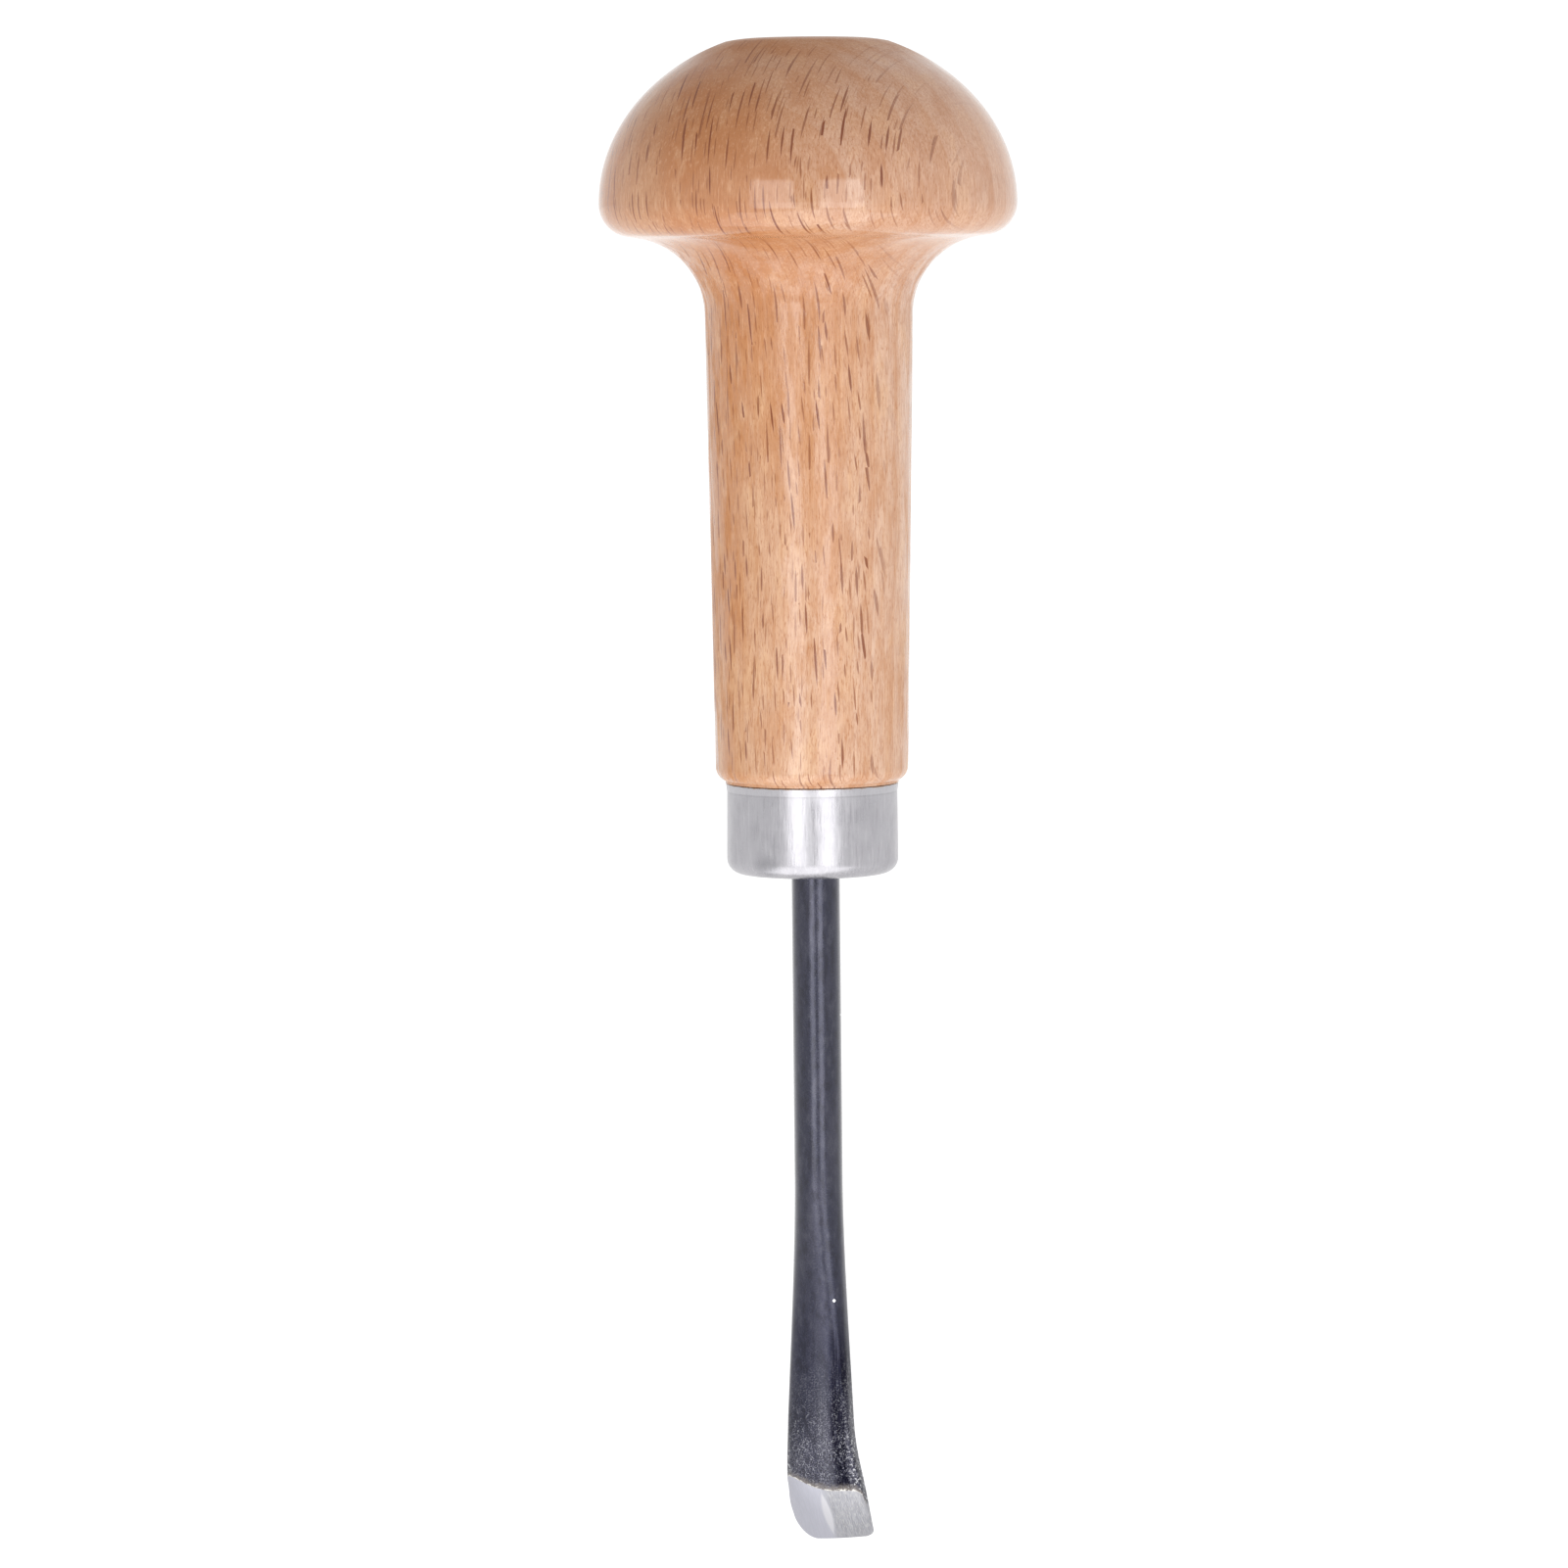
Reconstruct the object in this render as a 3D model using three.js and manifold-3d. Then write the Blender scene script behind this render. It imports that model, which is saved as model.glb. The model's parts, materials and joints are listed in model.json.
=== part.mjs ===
// A palm-handled lino cutter: a turned beech mushroom handle, a drawn metal ferrule, and a forged
// steel blade whose tang is bonded into the handle. Millimetres, +Z along the tool towards the palm.
// The origin is the centre of the flat on top of the head, so every depth below is a negative z.
// The blade's tip bends towards +Y, and the bevel ground on its back faces -Y.

import * as THREE from "three";
import { mergeVertices } from "three/addons/utils/BufferGeometryUtils.js";
import Module from "manifold-3d";

// Handle: a palm flat with a softly crowned border, half an ellipse down to a rounded rim, and a
// cove down to a tapered stem.
const PALM_FLAT_RADIUS = 4.5;
const PALM_BORDER_RADIUS = 14.2; // radius of the arc that falls away from the flat
const PALM_EDGE_RADIUS = 7.4; // where the border meets the dome
const HEAD_RADIUS = 19;
const DOME_DEPTH = 14.87; // from the palm flat to the widest level
const DOME_SEMI_AXIS = 15.82;
const RIM_CORNER_RADIUS = 3; // the corner below the widest level
const NECK_RADIUS = 9.45;
const NECK_DEPTH = 25;
const COVE_RADIUS = 7.1;
const FOOT_RADIUS = 8.8;
const FOOT_CORNER_RADIUS = 1.4;
const SHOULDER_DEPTH = 67.5;
const TENON_RADIUS = 7.15;
const TENON_END_DEPTH = 75.1;
const TENON_CHAMFER = 0.6;
const BORE_RADIUS = 2.8;
const BORE_TOP_DEPTH = 39;
const BORE_POINT_HEIGHT = 1.5; // the cone left by the drill's point

// Ferrule: a drawn cup with a rounded bottom corner, slightly flared at its lip and at its base.
const FERRULE_RADIUS = 7.79;
const FERRULE_BASE_RADIUS = 7.84;
const FERRULE_LIP_RADIUS = 7.89;
const FERRULE_LIP_HEIGHT = 0.8;
const FERRULE_WALL = 0.5;
const FERRULE_TOP_DEPTH = 67.6;
const FERRULE_BOTTOM_DEPTH = 75.9;
const FERRULE_CORNER_RADIUS = 1.4;
const FERRULE_HOLE_RADIUS = 2.6;

// Blade: tang, round shank, then a forged and bent tip that is wider and thinner than the rod.
const TANG_TOP_DEPTH = 42.7;
const TANG_TOP_HALF = 0.9;
const TANG_BASE_DEPTH = 72.7;
const TANG_BASE_HALF = 1.65;
const SHANK_TOP_DEPTH = 74.7;
const SHANK_RADIUS = 2.22;
const FORGE_START_DEPTH = 103.8;
const FORGE_END_DEPTH = 132.3;
const FORGE_SPREAD_POWER = 1.4;
const TIP_HALF_WIDTH = 3.5;
const TIP_SPLAY = 0.36; // extra half width gained beside the cutting edge
const SPLAY_START_DEPTH = 127.2;
const SPLAY_END_DEPTH = 134.4;
const LEFT_FLARE = 0.6; // the left side alone opens out by this much above the edge
const LEFT_FLARE_START_DEPTH = 132.6;
const LEFT_FLARE_END_DEPTH = 135.6;
const LEFT_RISE = 0.75; // and its front stands this much higher, as on a shallow gouge
const LEFT_RISE_START_DEPTH = 132;
const LEFT_RISE_END_DEPTH = 136.5;
const TIP_EDGE_HALF_THICKNESS = 0.7;
const TIP_BACK_CROWN = 0.55;
const TIP_FRONT_HOLLOW = 0.65;
const ROUND_EXPONENT = 1;
const SQUARE_EXPONENT = 0.35;
const BEND_START_DEPTH = 126;
const BEND_END_DEPTH = 134.7;
const BEND_RADIUS = 22.2;
const EDGE_DEPTH = 138.1;
const EDGE_SKEW = 0.08; // the cutting edge drops by this much per millimetre towards -X
const LEFT_CORNER_RADIUS = 2.3;
const RIGHT_CORNER_RADIUS = 1;

// Bevel: a convex grind across the back, steeper than the bent tip.
const BEVEL_SLOPE = 0.6; // rise towards +Y per millimetre of depth
const BEVEL_RADIUS = 10.5;
const BEVEL_HEEL = new THREE.Vector3(0.4, -0.24, -132.9);

// The bore's clearance lets the blade lean a little towards +X, off the handle's axis.
const BLADE_LEAN = 0.003; // radians
const BLADE_OFFSET = 0.055; // at the level of the palm flat
const BOND_CLEARANCE = 0.1;
const AROUND = 64; // facets round each turned piece
const SECTION_POINTS = 36; // points round each blade section

const wasm = await Module();
wasm.setup();

function arcPoints(centreRadius, centreDepth, radius, fromAngle, toAngle, steps) {
  // Angles are measured from straight out (+r) towards straight down.
  return Array.from({ length: steps + 1 }, (_, i) => {
    const angle = THREE.MathUtils.lerp(fromAngle, toAngle, i / steps);
    return [centreRadius + radius * Math.cos(angle), centreDepth + radius * Math.sin(angle)];
  });
}

function turned(profile) {
  // The profile is a list of [radius, depth]; depth is measured down from the palm flat.
  const points = profile.map(([radius, depth]) => new THREE.Vector2(radius, -depth));
  return new THREE.LatheGeometry(points.reverse(), AROUND).rotateX(Math.PI / 2);
}

function palmBorderPoints(steps) {
  return Array.from({ length: steps }, (_, i) => {
    const radius = THREE.MathUtils.lerp(PALM_FLAT_RADIUS, PALM_EDGE_RADIUS, i / steps);
    const fall = Math.sqrt(PALM_BORDER_RADIUS ** 2 - (radius - PALM_FLAT_RADIUS) ** 2);
    return [radius, PALM_BORDER_RADIUS - fall];
  });
}

function domePoints(steps) {
  const edgeAngle = Math.acos(PALM_EDGE_RADIUS / HEAD_RADIUS);
  return Array.from({ length: steps + 1 }, (_, i) => {
    const angle = edgeAngle * (1 - i / steps);
    return [HEAD_RADIUS * Math.cos(angle), DOME_DEPTH - DOME_SEMI_AXIS * Math.sin(angle)];
  });
}

function undersidePoints() {
  // The rim's corner arc and the cove are joined by the straight line that is tangent to both.
  const cornerRadius = HEAD_RADIUS - RIM_CORNER_RADIUS;
  const coveCentre = NECK_RADIUS + COVE_RADIUS;
  const across = coveCentre - cornerRadius;
  const down = NECK_DEPTH - DOME_DEPTH;
  const lean = Math.acos((RIM_CORNER_RADIUS + COVE_RADIUS) / Math.hypot(across, down));
  const tangent = Math.atan2(down, across) - lean;
  return [
    ...arcPoints(cornerRadius, DOME_DEPTH, RIM_CORNER_RADIUS, 0, tangent, 8).slice(1),
    ...arcPoints(coveCentre, NECK_DEPTH, COVE_RADIUS, tangent + Math.PI, Math.PI, 9),
  ];
}

function makeHandle() {
  const footCentre = FOOT_RADIUS - FOOT_CORNER_RADIUS;
  const footCentreDepth = SHOULDER_DEPTH - FOOT_CORNER_RADIUS;
  return turned([
    [0, 0],
    ...palmBorderPoints(4),
    ...domePoints(12),
    ...undersidePoints(),
    ...arcPoints(footCentre, footCentreDepth, FOOT_CORNER_RADIUS, 0, Math.PI / 2, 5),
    [TENON_RADIUS, SHOULDER_DEPTH],
    [TENON_RADIUS, TENON_END_DEPTH - TENON_CHAMFER],
    [TENON_RADIUS - TENON_CHAMFER, TENON_END_DEPTH],
    [BORE_RADIUS, TENON_END_DEPTH],
    [BORE_RADIUS, BORE_TOP_DEPTH],
    [0, BORE_TOP_DEPTH - BORE_POINT_HEIGHT],
  ]);
}

function makeFerrule() {
  const outerCentre = FERRULE_BASE_RADIUS - FERRULE_CORNER_RADIUS;
  const cornerDepth = FERRULE_BOTTOM_DEPTH - FERRULE_CORNER_RADIUS;
  const innerRadius = FERRULE_CORNER_RADIUS - FERRULE_WALL;
  const floorDepth = FERRULE_BOTTOM_DEPTH - FERRULE_WALL;
  const lipCentre = FERRULE_LIP_RADIUS - FERRULE_WALL / 2;
  const lipDepth = FERRULE_TOP_DEPTH + FERRULE_WALL / 2;
  const profile = [
    ...arcPoints(lipCentre, lipDepth, FERRULE_WALL / 2, -Math.PI, 0, 4),
    [FERRULE_RADIUS, FERRULE_TOP_DEPTH + FERRULE_LIP_HEIGHT],
    ...arcPoints(outerCentre, cornerDepth, FERRULE_CORNER_RADIUS, 0, Math.PI / 2, 5),
    [FERRULE_HOLE_RADIUS, FERRULE_BOTTOM_DEPTH],
    [FERRULE_HOLE_RADIUS, floorDepth],
    ...arcPoints(outerCentre, cornerDepth, innerRadius, Math.PI / 2, 0, 3),
    [FERRULE_RADIUS - FERRULE_WALL, FERRULE_TOP_DEPTH + FERRULE_LIP_HEIGHT],
  ];
  return turned([...profile, profile[0]]);
}

function loft(sections) {
  // Sections are equal-length rings of points, from the top down, closed by a flat cap at each end.
  const count = sections[0].length;
  const positions = sections.flat().flatMap((point) => point.toArray());
  const index = [];
  for (let ring = 0; ring + 1 < sections.length; ring += 1) {
    for (let i = 0; i < count; i += 1) {
      const next = (i + 1) % count;
      const [a, b] = [ring * count + i, ring * count + next];
      index.push(a, a + count, b, b, a + count, b + count);
    }
  }
  const last = (sections.length - 1) * count;
  for (let i = 1; i + 1 < count; i += 1) {
    index.push(0, i, i + 1);
    index.push(last, last + i + 1, last + i);
  }
  const geometry = new THREE.BufferGeometry();
  geometry.setAttribute("position", new THREE.Float32BufferAttribute(positions, 3));
  geometry.setIndex(index);
  return geometry;
}

function bladeSection({
  depth,
  halfWidth,
  halfThickness,
  crown,
  hollow,
  exponent,
  shift,
  middleX = 0,
  leftRise = 0,
}) {
  // A superellipse with a crowned back (-Y) and a hollow front (+Y) that may rise on the left.
  const signedPower = (value) => Math.sign(value) * Math.abs(value) ** exponent;
  return Array.from({ length: SECTION_POINTS }, (_, i) => {
    const angle = (2 * Math.PI * i) / SECTION_POINTS;
    const across = signedPower(Math.cos(angle));
    const through = signedPower(Math.sin(angle));
    const middle = 1 - across ** 2;
    const rise = leftRise * Math.max(0, -across) ** 2;
    const reach = halfThickness + (through < 0 ? crown * middle : rise - hollow * middle);
    return new THREE.Vector3(middleX + halfWidth * across, shift + through * reach, -depth);
  });
}

function bendShift(depth) {
  // The centreline follows an arc towards +Y, then runs straight on at the arc's last slope.
  const onArc = THREE.MathUtils.clamp(depth, BEND_START_DEPTH, BEND_END_DEPTH) - BEND_START_DEPTH;
  const beyond = Math.max(0, depth - BEND_END_DEPTH);
  return onArc ** 2 / (2 * BEND_RADIUS) + (beyond * onArc) / BEND_RADIUS;
}

function roundSection(depth, radius) {
  return bladeSection({
    depth,
    halfWidth: radius,
    halfThickness: radius,
    crown: 0,
    hollow: 0,
    exponent: ROUND_EXPONENT,
    shift: 0,
  });
}

function tangSection(depth, half) {
  return bladeSection({
    depth,
    halfWidth: half,
    halfThickness: half,
    crown: 0,
    hollow: 0,
    exponent: SQUARE_EXPONENT,
    shift: 0,
  });
}

function forgedSection(depth) {
  const span = FORGE_END_DEPTH - FORGE_START_DEPTH;
  const forged = THREE.MathUtils.clamp((depth - FORGE_START_DEPTH) / span, 0, 1);
  const squared = THREE.MathUtils.smoothstep(forged, 0, 1);
  const spread = forged ** FORGE_SPREAD_POWER;
  const splay = THREE.MathUtils.smoothstep(depth, SPLAY_START_DEPTH, SPLAY_END_DEPTH);
  const flare =
    LEFT_FLARE * THREE.MathUtils.smoothstep(depth, LEFT_FLARE_START_DEPTH, LEFT_FLARE_END_DEPTH);
  const rise =
    LEFT_RISE * THREE.MathUtils.smoothstep(depth, LEFT_RISE_START_DEPTH, LEFT_RISE_END_DEPTH);
  const evenHalf = THREE.MathUtils.lerp(SHANK_RADIUS, TIP_HALF_WIDTH, spread) + TIP_SPLAY * splay;
  return bladeSection({
    depth,
    halfWidth: evenHalf + flare / 2,
    middleX: -flare / 2,
    leftRise: rise,
    halfThickness: THREE.MathUtils.lerp(SHANK_RADIUS, TIP_EDGE_HALF_THICKNESS, forged),
    crown: TIP_BACK_CROWN * forged,
    hollow: TIP_FRONT_HOLLOW * squared,
    exponent: THREE.MathUtils.lerp(ROUND_EXPONENT, SQUARE_EXPONENT, squared),
    shift: bendShift(depth),
  });
}

function solid(geometry) {
  // A manifold-3d solid from a closed geometry, keeping positions only.
  const bare = geometry.clone();
  bare.deleteAttribute("normal");
  bare.deleteAttribute("uv");
  const merged = mergeVertices(bare, 1e-4);
  return new wasm.Manifold(
    new wasm.Mesh({
      numProp: 3,
      vertProperties: new Float32Array(merged.attributes.position.array),
      triVerts: new Uint32Array(merged.index.array),
    }),
  );
}

function geometryOf(manifold) {
  const mesh = manifold.getMesh();
  const geometry = new THREE.BufferGeometry();
  geometry.setAttribute("position", new THREE.BufferAttribute(mesh.vertProperties, 3));
  geometry.setIndex(new THREE.BufferAttribute(mesh.triVerts, 1));
  const faceted = geometry.toNonIndexed();
  faceted.computeVertexNormals();
  return faceted;
}

function tipOutline() {
  // The blade seen from its front, down to a slightly skewed edge with two rounded corners.
  const half = TIP_HALF_WIDTH + TIP_SPLAY + 0.01;
  const thickness = 20;
  const leftX = -half - LEFT_FLARE;
  const left = -EDGE_DEPTH + EDGE_SKEW * leftX;
  const right = -EDGE_DEPTH + EDGE_SKEW * half;
  const outline = new THREE.Shape();
  outline.moveTo(leftX, 0);
  outline.lineTo(leftX, left + LEFT_CORNER_RADIUS);
  outline.absarc(
    leftX + LEFT_CORNER_RADIUS,
    left + LEFT_CORNER_RADIUS,
    LEFT_CORNER_RADIUS,
    Math.PI,
    1.5 * Math.PI,
    false,
  );
  outline.absarc(
    half - RIGHT_CORNER_RADIUS,
    right + RIGHT_CORNER_RADIUS,
    RIGHT_CORNER_RADIUS,
    1.5 * Math.PI,
    2 * Math.PI,
    false,
  );
  outline.lineTo(half, 0);
  const prism = new THREE.ExtrudeGeometry(outline, {
    depth: thickness,
    bevelEnabled: false,
    curveSegments: 8,
  });
  return prism.translate(0, 0, -thickness / 2).rotateX(Math.PI / 2);
}

function bevelRemover() {
  // Everything outside a cylinder of BEVEL_RADIUS that lies along the bevel's slope.
  const reach = 6;
  const clear = 15;
  const lengthAbove = 6;
  const lengthBelow = 12;
  const sweep = Math.asin(reach / BEVEL_RADIUS);
  const outline = new THREE.Shape();
  outline.moveTo(-reach, clear);
  outline.absarc(0, -BEVEL_RADIUS, BEVEL_RADIUS, Math.PI / 2 + sweep, Math.PI / 2 - sweep, true);
  outline.lineTo(reach, clear);
  const prism = new THREE.ExtrudeGeometry(outline, {
    depth: lengthAbove + lengthBelow,
    bevelEnabled: false,
    curveSegments: 16,
  });
  prism.translate(0, 0, -lengthBelow);
  // Outline +Y becomes the outward normal of the bevel, and the extrusion runs up its slope.
  const upSlope = new THREE.Vector3(0, -BEVEL_SLOPE, 1).normalize();
  const outward = new THREE.Vector3(0, -1, -BEVEL_SLOPE).normalize();
  const sideways = new THREE.Vector3().crossVectors(outward, upSlope);
  prism.applyMatrix4(new THREE.Matrix4().makeBasis(sideways, outward, upSlope));
  return prism.translate(BEVEL_HEEL.x, BEVEL_HEEL.y, BEVEL_HEEL.z);
}

function leaned(geometry) {
  return geometry.rotateY(-BLADE_LEAN).translate(BLADE_OFFSET, 0, 0);
}

function makeBlade() {
  const flareSteps = 10;
  const bendSteps = 14;
  const overrun = 1.5;
  const forgedDepths = [
    ...Array.from({ length: flareSteps }, (_, i) =>
      THREE.MathUtils.lerp(FORGE_START_DEPTH, BEND_START_DEPTH, i / flareSteps),
    ),
    ...Array.from({ length: bendSteps + 1 }, (_, i) =>
      THREE.MathUtils.lerp(BEND_START_DEPTH, EDGE_DEPTH + overrun, i / bendSteps),
    ),
  ];
  const body = loft([
    tangSection(TANG_TOP_DEPTH, TANG_TOP_HALF),
    tangSection(TANG_BASE_DEPTH, TANG_BASE_HALF),
    roundSection(SHANK_TOP_DEPTH, SHANK_RADIUS),
    ...forgedDepths.map(forgedSection),
  ]);
  const outlined = solid(body).intersect(solid(tipOutline()));
  const ground = outlined.subtract(solid(bevelRemover()));
  return leaned(geometryOf(ground));
}

function makeTangAdhesive() {
  // Cured adhesive that fills the bore round the tang, open at the bottom where the tang enters.
  const radius = BORE_RADIUS - BOND_CLEARANCE;
  const top = BORE_TOP_DEPTH + BOND_CLEARANCE;
  const bottom = TANG_BASE_DEPTH - BOND_CLEARANCE;
  const overrun = 1;
  const plug = turned([
    [0, top],
    [radius, top],
    [radius, bottom],
    [0, bottom],
  ]);
  const taper = (TANG_BASE_HALF - TANG_TOP_HALF) / (TANG_BASE_DEPTH - TANG_TOP_DEPTH);
  const pocket = loft([
    tangSection(TANG_TOP_DEPTH - BOND_CLEARANCE, TANG_TOP_HALF + BOND_CLEARANCE),
    tangSection(
      TANG_BASE_DEPTH + overrun,
      TANG_BASE_HALF + BOND_CLEARANCE + taper * overrun,
    ),
  ]);
  return geometryOf(solid(plug).subtract(solid(leaned(pocket))));
}

function beech() {
  return new THREE.MeshStandardMaterial({ color: 0xd99a72, roughness: 0.35, metalness: 0 });
}

function platedSteel() {
  return new THREE.MeshStandardMaterial({ color: 0xc8c6c9, roughness: 0.35, metalness: 1 });
}

function blackOxideSteel() {
  return new THREE.MeshStandardMaterial({ color: 0x45464f, roughness: 0.4, metalness: 0.8 });
}

function curedEpoxy() {
  return new THREE.MeshStandardMaterial({ color: 0xd8c48a, roughness: 0.3, metalness: 0 });
}

function named(name, geometry, material) {
  const mesh = new THREE.Mesh(geometry, material);
  mesh.name = name;
  return mesh;
}

const linoCutter = new THREE.Group();
linoCutter.add(
  named("handle", makeHandle(), beech()),
  named("ferrule", makeFerrule(), platedSteel()),
  named("blade", makeBlade(), blackOxideSteel()),
  named("tang_adhesive", makeTangAdhesive(), curedEpoxy()),
);

export default linoCutter;
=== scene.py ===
"""A palm-handled lino cutter: turned lacquered beech handle, plated ferrule, black oxide blade.

Metres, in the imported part's frame: +Z up the tool's axis and out of the palm flat, whose centre is
the origin. The blade's tip bends towards +Y, and the bevel ground on its back faces -Y. Shapes are
worked out in millimetres and placed by the boxes of the CAD nodes that they stand for.
"""

import json
import math
from types import SimpleNamespace

import bpy
from mathutils import Matrix, Vector

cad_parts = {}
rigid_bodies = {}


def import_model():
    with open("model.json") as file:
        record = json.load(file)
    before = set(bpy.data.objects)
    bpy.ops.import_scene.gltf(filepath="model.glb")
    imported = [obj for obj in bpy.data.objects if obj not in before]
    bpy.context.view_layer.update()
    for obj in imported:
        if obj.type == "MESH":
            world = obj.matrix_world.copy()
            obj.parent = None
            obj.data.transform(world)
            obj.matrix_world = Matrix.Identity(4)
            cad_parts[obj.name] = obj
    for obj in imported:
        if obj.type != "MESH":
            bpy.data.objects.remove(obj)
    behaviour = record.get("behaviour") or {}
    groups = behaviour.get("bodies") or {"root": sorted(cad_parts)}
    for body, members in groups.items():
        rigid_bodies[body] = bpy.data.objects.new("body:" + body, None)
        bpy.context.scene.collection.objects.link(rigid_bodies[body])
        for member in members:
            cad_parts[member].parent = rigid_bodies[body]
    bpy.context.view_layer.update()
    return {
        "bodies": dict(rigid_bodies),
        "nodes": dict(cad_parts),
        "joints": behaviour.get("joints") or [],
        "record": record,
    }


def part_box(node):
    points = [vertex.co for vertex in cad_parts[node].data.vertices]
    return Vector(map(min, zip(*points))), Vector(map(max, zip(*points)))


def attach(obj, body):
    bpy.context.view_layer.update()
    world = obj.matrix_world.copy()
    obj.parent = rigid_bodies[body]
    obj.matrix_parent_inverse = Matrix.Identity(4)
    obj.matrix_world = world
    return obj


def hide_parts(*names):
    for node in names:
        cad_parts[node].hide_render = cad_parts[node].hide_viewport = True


MM = 0.001

# Handle, in mm; depths are measured down from the palm flat.
PALM_FLAT_RADIUS = 4.5
PALM_BORDER_RADIUS = 14.2
PALM_EDGE_RADIUS = 7.4
DOME_DEPTH = 14.87
DOME_SEMI_AXIS = 15.82
RIM_CORNER_RADIUS = 3
NECK_RADIUS = 9.45
NECK_DEPTH = 25
COVE_RADIUS = 7.1
FOOT_RADIUS = 8.8
FOOT_CORNER_RADIUS = 1.4
FOOT_ARC_DEGREES = 67
SHOULDER_DEPTH = 67.5
# The lacquer reaches this far below the shoulder.
LACQUER_EDGE = 0.06
TENON_RADIUS = 7.15
TENON_CHAMFER = 0.6
BORE_RADIUS = 2.8
BORE_TOP_DEPTH = 39
BORE_POINT_HEIGHT = 1.5

# Ferrule, in mm.
FERRULE_RADIUS = 7.79
FERRULE_BASE_RADIUS = 7.84
FERRULE_LIP_HEIGHT = 0.8
FERRULE_WALL = 0.5
FERRULE_CORNER_RADIUS = 1.4
FERRULE_HOLE_RADIUS = 2.6
LIP_ROUNDING = 0.12

# Blade, in mm.
TANG_TOP_HALF = 0.9
TANG_BASE_DEPTH = 72.7
TANG_BASE_HALF = 1.65
SHANK_TOP_DEPTH = 74.7
SHANK_RADIUS = 2.22
FORGE_START_DEPTH = 103.8
FORGE_END_DEPTH = 132.3
FORGE_SPREAD_POWER = 1.4
TIP_HALF_WIDTH = 3.5
TIP_SPLAY = 0.36
SPLAY_START_DEPTH = 127.2
SPLAY_END_DEPTH = 134.4
LEFT_FLARE = 0.6
LEFT_FLARE_START_DEPTH = 132.6
LEFT_FLARE_END_DEPTH = 135.6
LEFT_RISE = 0.75
LEFT_RISE_START_DEPTH = 132
LEFT_RISE_END_DEPTH = 136.5
TIP_EDGE_HALF_THICKNESS = 0.7
TIP_BACK_CROWN = 0.55
TIP_FRONT_HOLLOW = 0.65
ROUND_EXPONENT = 1
SQUARE_EXPONENT = 0.35
BEND_START_DEPTH = 126
BEND_END_DEPTH = 134.7
BEND_RADIUS = 22.2
EDGE_DEPTH = 138.1
EDGE_SKEW = 0.08
LEFT_CORNER_RADIUS = 2.3
RIGHT_CORNER_RADIUS = 1
BEVEL_SLOPE = 0.6
BEVEL_RADIUS = 10.5
BEVEL_HEEL = Vector((0.4, -0.24, -132.9))
BLADE_LEAN = 0.003
BLADE_OFFSET = 0.055

# Mesh density: points round a turned piece or a blade section, and steps along each stretch.
AROUND = 224
SECTION_POINTS = 120
BORDER_STEPS = 14
DOME_STEPS = 64
RIM_STEPS = 28
COVE_STEPS = 40
STEM_STEPS = 40
FOOT_STEPS = 14
LIP_STEPS = 8
WALL_STEPS = 10
OUTER_CORNER_STEPS = 16
INNER_CORNER_STEPS = 10
SHANK_STEPS = 12
FORGE_STEPS = 40
BEND_STEPS = 64
TIP_CORNER_STEPS = 16
BEVEL_STEPS = 64
TURNED_SHARP_DEGREES = 40
BLADE_SHARP_DEGREES = 38

# Growth rings are this far apart, and one bare pinhole at most lies in each cell of black steel.
RING_SPACING = 2.9
PINHOLE_CELL = 2.4

# Camera, in mm and in degrees round the tool's axis. The roll alone is in radians.
VIEW_AZIMUTH = 26
VIEW_TILT = 4.8
VIEW_DISTANCE = 592
VIEW_HEIGHT = -18.06
VIEW_SIDESTEP = 2.58
VIEW_ROLL = -0.0076
LENS_MM = 149.2
SENSOR_MM = 36

# Lights, in metres and degrees round the tool's axis. Radiance is relative to a white card.
SOFTBOX_AZIMUTHS = {"softbox_left": 6.7, "softbox_right": 44.7}
SOFTBOX_DISTANCE = 0.45
SOFTBOX_HEIGHT = -0.055
SOFTBOX_WIDTH = 0.17
SOFTBOX_LENGTH = 0.35
SOFTBOX_RADIANCE = 2.4
REFLECTOR_DISTANCE = 0.16
REFLECTOR_HEIGHT = -0.178
REFLECTOR_WIDTH = 0.3
REFLECTOR_LENGTH = 0.24
REFLECTOR_RADIANCE = 1.1

# Floor, in mm: a flat disc and the ring of quads round it.
FLOOR_DEPTH = 182
FLOOR_RADIUS = 5000
FLOOR_MIDDLE_RADIUS = 1000
FLOOR_STEPS = 96


def lerp(low, high, share):
    return low + (high - low) * share


def clamp(value, low, high):
    return max(low, min(high, value))


def smoothstep(value, low, high):
    share = clamp((value - low) / (high - low), 0, 1)
    return share * share * (3 - 2 * share)


# ---------------------------------------------------------------------------------- mesh helpers


def mesh_object(name, points, faces):
    mesh = bpy.data.meshes.new(name)
    mesh.from_pydata([Vector(p) * MM for p in points], [], faces)
    mesh.update()
    piece = bpy.data.objects.new(name, mesh)
    bpy.context.scene.collection.objects.link(piece)
    return piece


def arc_points(centre_radius, centre_depth, radius, start, end, steps):
    """Points [radius, depth]; angles are measured from straight out towards straight down."""
    angles = [lerp(start, end, i / steps) for i in range(steps + 1)]
    return [
        (centre_radius + radius * math.cos(a), centre_depth + radius * math.sin(a))
        for a in angles
    ]


def line_points(start, end, steps):
    """Points between start and end, without either of them."""
    return [
        (lerp(start[0], end[0], i / steps), lerp(start[1], end[1], i / steps))
        for i in range(1, steps)
    ]


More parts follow.
